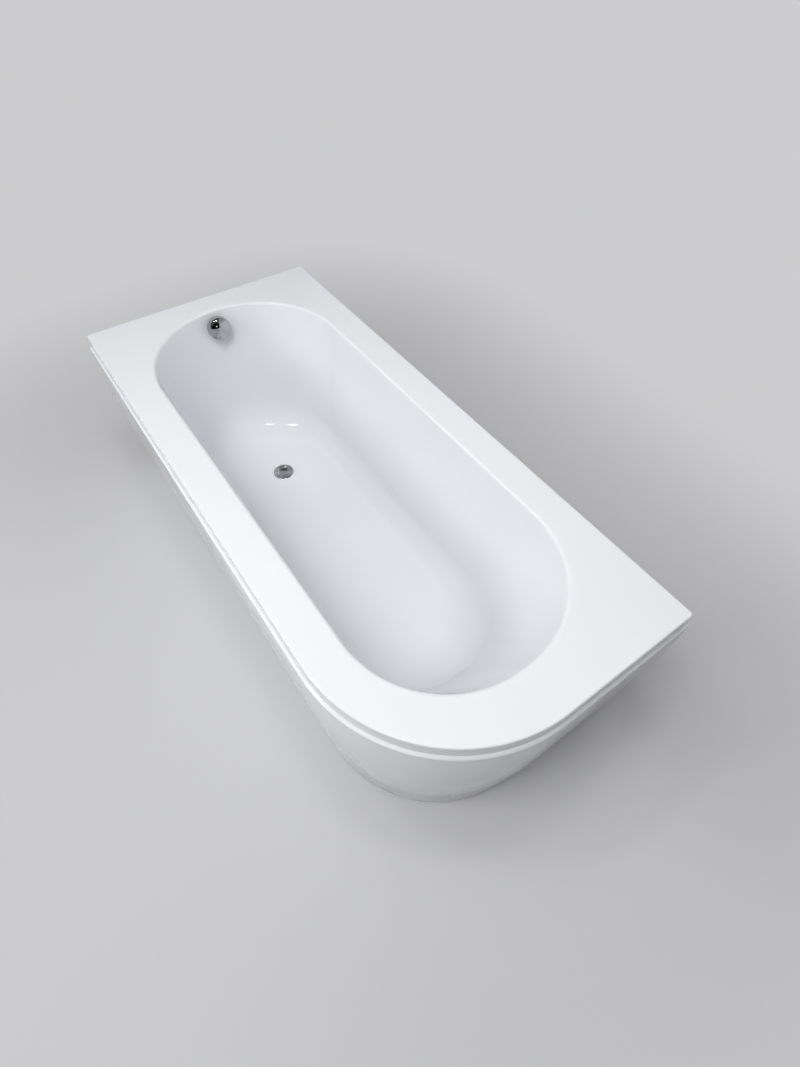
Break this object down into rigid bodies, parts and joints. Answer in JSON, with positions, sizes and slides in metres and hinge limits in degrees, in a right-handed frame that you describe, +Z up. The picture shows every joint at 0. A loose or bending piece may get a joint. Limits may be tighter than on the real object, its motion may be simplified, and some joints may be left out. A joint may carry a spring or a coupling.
{
  "type": "bathtub",
  "caption": "Alcove bathtub with a flat rim, one large rounded corner, a wrap-round apron, and an overflow knob that lifts the waste plug.",
  "frame": {"origin": "middle of the footprint on the floor the feet stand on", "axes": "+X along the bath from the drain end to the backrest end, +Y towards the long wall, +Z up"},
  "size_m": [1.708, 0.758, 0.6],
  "materials": {
    "white_acrylic": "polished moulded acrylic",
    "chrome": "polished chrome plate",
    "softwood": "sawn softwood",
    "particle_board": "particle board",
    "zinc_steel": "zinc-plated steel",
    "screw_steel": "bright zinc-plated screws",
    "white_plastic": "moulded white plastic",
    "grey_plastic": "moulded grey plastic",
    "black_plastic": "moulded black plastic",
    "black_rubber": "black rubber"
  },
  "bodies": {
    "bath": {"bath_shell": "white_acrylic", "apron_panel": "white_acrylic", "base_board": "particle_board", "front_batten": "softwood", "wall_batten": "softwood", "drain_end_batten": "softwood", "back_end_batten": "softwood", "apron_clips": "white_plastic", "clip_screws": "screw_steel", "floor_brackets": "zinc_steel", "floor_bracket_screws": "screw_steel", "wall_brackets": "zinc_steel", "wall_bracket_screws": "screw_steel", "drain_rail": "zinc_steel", "back_rail": "zinc_steel", "rail_screws": "screw_steel", "foot_nuts": "zinc_steel", "waste_flange": "chrome", "waste_top_seal": "black_rubber", "waste_under_seal": "black_rubber", "waste_body": "white_plastic", "rocker_pin": "screw_steel", "trap_u_bend": "white_plastic", "trap_outlet": "white_plastic", "trap_union_nuts": "white_plastic", "overflow_body": "white_plastic", "overflow_seal": "black_rubber", "overflow_gasket": "black_rubber", "overflow_faceplate": "chrome", "overflow_pipe": "white_plastic"},
    "knob": {"overflow_knob": "chrome", "knob_spindle": "screw_steel", "cable_arm": "grey_plastic"},
    "plug": {"popup_plug": "chrome", "plug_seal": "black_rubber"},
    "rocker": {"plug_rocker": "grey_plastic"},
    "foot_front_drain": {"foot_stud_front_drain": "zinc_steel", "foot_pad_front_drain": "black_plastic"},
    "foot_wall_drain": {"foot_stud_wall_drain": "zinc_steel", "foot_pad_wall_drain": "black_plastic"},
    "foot_front_back": {"foot_stud_front_back": "zinc_steel", "foot_pad_front_back": "black_plastic"},
    "foot_wall_back": {"foot_stud_wall_back": "zinc_steel", "foot_pad_wall_back": "black_plastic"}
  },
  "joints": [
    {"name": "knob_turn", "type": "hinge", "parent": "bath", "child": "knob", "pos_m": [-0.75683, 0.004, 0.548], "axis": [-0.9848, 0, -0.1736], "range_deg": [0, 90]},
    {"name": "plug_lift", "type": "slide", "parent": "bath", "child": "plug", "axis": [0, 0, 1], "range_m": [0, 0.008]},
    {"name": "rocker_turn", "type": "hinge", "parent": "bath", "child": "rocker", "pos_m": [-0.42796, 0.004, 0.081], "axis": [0, -1, 0], "range_deg": [0, 32]},
    {"name": "level_front_drain", "type": "slide", "parent": "bath", "child": "foot_front_drain", "axis": [0, 0, -1], "range_m": [0, 0.03]},
    {"name": "level_wall_drain", "type": "slide", "parent": "bath", "child": "foot_wall_drain", "axis": [0, 0, -1], "range_m": [0, 0.03]},
    {"name": "level_front_back", "type": "slide", "parent": "bath", "child": "foot_front_back", "axis": [0, 0, -1], "range_m": [0, 0.03]},
    {"name": "level_wall_back", "type": "slide", "parent": "bath", "child": "foot_wall_back", "axis": [0, 0, -1], "range_m": [0, 0.03]}
  ],
  "couplings": [
    {"joint": "plug_lift", "follows": "knob_turn", "m_per_rad": 0.005092},
    {"joint": "rocker_turn", "follows": "knob_turn", "ratio": 0.3555}
  ]
}
